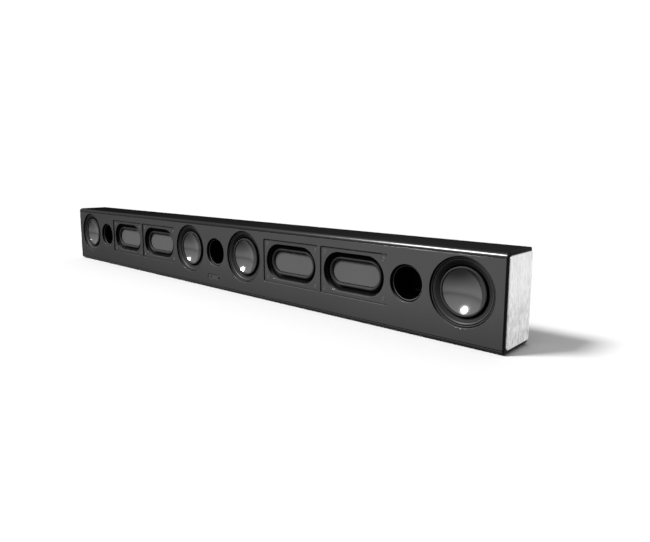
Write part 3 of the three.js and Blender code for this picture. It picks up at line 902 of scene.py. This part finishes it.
# Status window: a stadium with a rounded rim. The eye and the lamp are flat domes: the height is half a
# millimetre times the root of one less the share of the radius squared.
def buildWindow():
    (centre, half), high = seat("status_window"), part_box("status_window")[1]
    radius = half[1]
    core = (half[0] - radius, 0)
    face = frontY + window["lensDepth"] * mm
    rows = [(0.02 * mm, face), (radius - 0.5 * mm, face), (radius - 0.15 * mm, face + 0.12 * mm),
            (radius, face + 0.45 * mm), (radius, high.y), (0.02 * mm, high.y)]
    place(makeObject("status_window_made", *carriedRing(rows, core, centre, 12, closed=False)), "cabinet",
          paint["lens"], ["status_window"])
    for name, offset, size, look in (("sensor_eye", window["sensorAt"], window["sensorRadius"], "sensor"),
                                     ("status_lamp", window["lampAt"], window["lampRadius"], "lamp")):
        share = np.linspace(0, 1, 7)
        rise = window["domeRise"] * np.sqrt(1 - share ** 2) - window["domeSunk"]
        dome = [(max(0.01, size * s) * mm, face - up * mm) for s, up in zip(share, rise)]
        dome += [(size * mm, face + 0.6 * mm), (0.01 * mm, face + 0.6 * mm)]
        place(makeObject(name, *carriedRing(dome, centre=(centre[0] + offset * mm, centre[1]), steps=10,
                                            closed=False)), "cabinet", paint[look])
    print("status window made")


pocket = {"deep": 5.0, "wall": 1.0, "round": 2.5, "inX": 6.0, "inZ": 8.0}


# Sockets, wall plates and controls are their solids with rounded edges. A pocket is a rounded cup with
# its open side towards the plate, and a foot is a circle carried along Z with both ends rounded.
def buildBack():
    # the connector panel takes the lightened rear paint, which is painted light
    soft = {"connector_panel": ("rear", 0.5, "shell_black"), "power_inlet": ("socket", 0.35, "socket_black"),
            "video_socket": ("nickel", 0.15, "socket_metal"),
            "optical_socket": ("socket", 0.25, "socket_black"),
            "line_socket": ("socket", 0.25, "socket_black"), "wall_plate_left": ("zinc", 0.3, "plate_steel"),
            "wall_plate_right": ("zinc", 0.3, "plate_steel")}
    for node, (look, width, slotName) in soft.items():
        place(softenedCopy(node, width * mm), "cabinet", paint[look], [node])
    # a closed pocket behind each keyhole, so that the cabinet stays shut
    for side in ("left", "right"):
        low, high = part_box(f"wall_plate_{side}")
        half, centre = (high - low) / 2, (high + low) / 2
        inner, floor = low.y, low.y - pocket["deep"] * mm
        radius, skin = pocket["round"] * mm, pocket["wall"] * mm
        core = (half.x - pocket["inX"] * mm, half.z - pocket["inZ"] * mm)
        rows = [(0.01 * mm, floor + skin), (radius - skin, floor + skin), (radius - skin, inner),
                (radius, inner), (radius, floor), (0.01 * mm, floor)]
        place(makeObject(f"keyhole_pocket_{side}", *carriedRing(rows, core, (centre.x, centre.z), 6,
                                                              closed=False)),
              "cabinet", paint["socket"])
    place(softenedCopy("power_rocker", 0.5 * mm, 3), "rocker", paint["control"],
          ["power_rocker"])
    place(softenedCopy("pairing_button", 0.35 * mm, 3), "button", paint["control"],
          ["pairing_button"])
    for node, look in (("main_board", "board"), ("power_board", "board"), ("heat_sink", "sink")):
        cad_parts[node].material_slots[0].material = paint[look]
    for i in range(1, 5):
        low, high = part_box(f"foot_{i}")
        radius = (high.x - low.x) / 2
        centre = np.array([(low.x + high.x) / 2, (low.y + high.y) / 2])
        shape = lambda grow: grownCore((0, 0), radius + grow, 12) + centre
        place(makeObject(f"foot_{i}_made", *piercedPlate([(shape, roundedBoth(low.z, high.z, 0.35 * mm, -1))],
                                                         "z")),
              "cabinet", paint["foot"], [f"foot_{i}"])
    print("back, feet and inside made")


buildCabinet()
buildRearCover()
buildBaffle()
buildEnds()
buildDrivers()
buildRadiators()
buildPorts()
buildWindow()
buildBack()


studio = {
    "floorHalf": 30.0, "sunPower": 2.9, "sunAngle": 15.0, "sunFrom": (-0.44, -0.485, 0.757),
    "boxFrom": (-0.43, -0.67, 0.62), "boxAway": 4.0, "boxSize": 1.15, "boxPower": 265.0,
    # the room's brightness by the height of the direction, for soft light, front gloss and rear gloss
    "softLight": ((-1, 0.03), (-0.2, 0.03), (0.0, 0.05), (0.35, 0.20), (0.7, 0.55), (1, 0.74)),
    "frontGloss": ((-1, 0.10), (-0.84, 0.14), (-0.2, 0.80), (-0.06, 0.72), (-0.01, 0.40), (0.2, 0.75),
                   (1, 1.0)),
    "rearGloss": ((-1, 0.10), (-0.42, 0.36), (-0.30, 0.80), (-0.2, 0.98), (-0.02, 0.90), (0.12, 0.5),
                  (1, 0.5)),
    "fillLow": 0.35, "fillSpan": (-0.3, 0.8), "rearSpan": (-0.1, 0.3), "backdrop": 1.05,
}
camera = {"at": (0.7933, -0.6172, 0.2093), "turn": (81.80, 0.0, 42.725), "lens": 30.33,
          "shift": (0.0088, -0.0321)}


# A light at the target plus the unit direction times its distance, turned to face the target.
def aimedLight(name, kind, direction, away, target=(0.3, 0.0, 0.06)):
    data = bpy.data.lights.new(name, kind)
    light = bpy.data.objects.new(name, data)
    bpy.context.scene.collection.objects.link(light)
    direction = Vector(direction).normalized()
    light.location = Vector(target) + direction * away
    light.rotation_euler = direction.to_track_quat("Z", "Y").to_euler()
    return light


# Floor, two lights, a graded room and the camera. The room is a mix of ramps over the height of the
# direction, chosen by what kind of ray asks.
def buildStudio():
    size = studio["floorHalf"]
    corners = [(-size, -size, 0), (size, -size, 0), (size, size, 0), (-size, size, 0)]
    floor = makeObject("studio_floor", corners, [[0, 1, 2, 3]])
    floor.data.materials.append(studioFloor())
    floor.visible_diffuse = False
    floor.visible_glossy = False

    sun = aimedLight("key_sun", "SUN", studio["sunFrom"], 5.0)
    sun.data.energy = studio["sunPower"]
    sun.data.angle = math.radians(studio["sunAngle"])
    sun.visible_glossy = False
    box = aimedLight("soft_box", "AREA", studio["boxFrom"], studio["boxAway"])
    box.data.shape = "DISK"
    box.data.size = studio["boxSize"]
    box.data.energy = studio["boxPower"]
    box.visible_diffuse = False

    # the room: white to the camera, soft light from overhead, and a graded surround for the gloss
    world = bpy.data.worlds.new("studio_room")
    bpy.context.scene.world = world
    world.use_nodes = True
    world.cycles.sampling_method = "NONE"
    tree = world.node_tree
    tree.nodes.clear()
    link = tree.links.new

    # One node of the room with its settings.
    def add(kind, **settings):
        made = tree.nodes.new("ShaderNode" + kind)
        for key, value in settings.items():
            setattr(made, key, value)
        return made

    where, split, path = add("TexCoord"), add("SeparateXYZ"), add("LightPath")
    link(where.outputs["Generated"], split.inputs[0])
    height = add("MapRange")
    height.inputs["From Min"].default_value = -1
    link(split.outputs[2], height.inputs["Value"])

    # A ramp over the height of the direction: each stop at half of one plus its height.
    def graded(stops):
        ramp = add("ValToRGB")
        elements = ramp.color_ramp.elements
        for index, (at, value) in enumerate(stops):
            one = elements[index] if index < 2 else elements.new(1.0)
            one.position = (at + 1) / 2
            one.color = (value, value, value, 1)
        link(height.outputs[0], ramp.inputs[0])
        return ramp.outputs[0]

    behind = add("MapRange", interpolation_type="SMOOTHSTEP")
    behind.inputs["From Min"].default_value, behind.inputs["From Max"].default_value = studio["rearSpan"]
    link(split.outputs[1], behind.inputs["Value"])
    gloss = add("Mix", data_type="RGBA")
    link(behind.outputs[0], gloss.inputs[0])
    link(graded(studio["frontGloss"]), gloss.inputs[6])
    link(graded(studio["rearGloss"]), gloss.inputs[7])
    side = add("MapRange", interpolation_type="SMOOTHSTEP")
    side.inputs["From Min"].default_value, side.inputs["From Max"].default_value = studio["fillSpan"]
    side.inputs["To Min"].default_value, side.inputs["To Max"].default_value = 1.0, studio["fillLow"]
    link(split.outputs[0], side.inputs["Value"])
    soft = add("VectorMath", operation="SCALE")
    link(graded(studio["softLight"]), soft.inputs[0])
    link(side.outputs[0], soft.inputs["Scale"])
    room = add("Mix", data_type="RGBA")
    link(path.outputs["Is Diffuse Ray"], room.inputs[0])
    link(gloss.outputs[2], room.inputs[6])
    link(soft.outputs[0], room.inputs[7])
    unseen, seen, mix, output = add("Background"), add("Background"), add("MixShader"), add("OutputWorld")
    link(room.outputs[2], unseen.inputs[0])
    seen.inputs[0].default_value = (1.0, 1.0, 1.0, 1)
    seen.inputs[1].default_value = studio["backdrop"]
    link(path.outputs["Is Camera Ray"], mix.inputs[0])
    link(unseen.outputs[0], mix.inputs[1])
    link(seen.outputs[0], mix.inputs[2])
    link(mix.outputs[0], output.inputs[0])

    data = bpy.data.cameras.new("studio_camera")
    eye = bpy.data.objects.new("studio_camera", data)
    bpy.context.scene.collection.objects.link(eye)
    eye.location = camera["at"]
    eye.rotation_euler = Euler([math.radians(a) for a in camera["turn"]])
    data.lens, data.sensor_width = camera["lens"], 36
    data.shift_x, data.shift_y = camera["shift"]
    data.clip_start, data.clip_end = 0.01, 200
    bpy.context.scene.camera = eye
    bpy.context.scene.view_settings.view_transform = "Standard"
    print("studio made")


buildStudio()
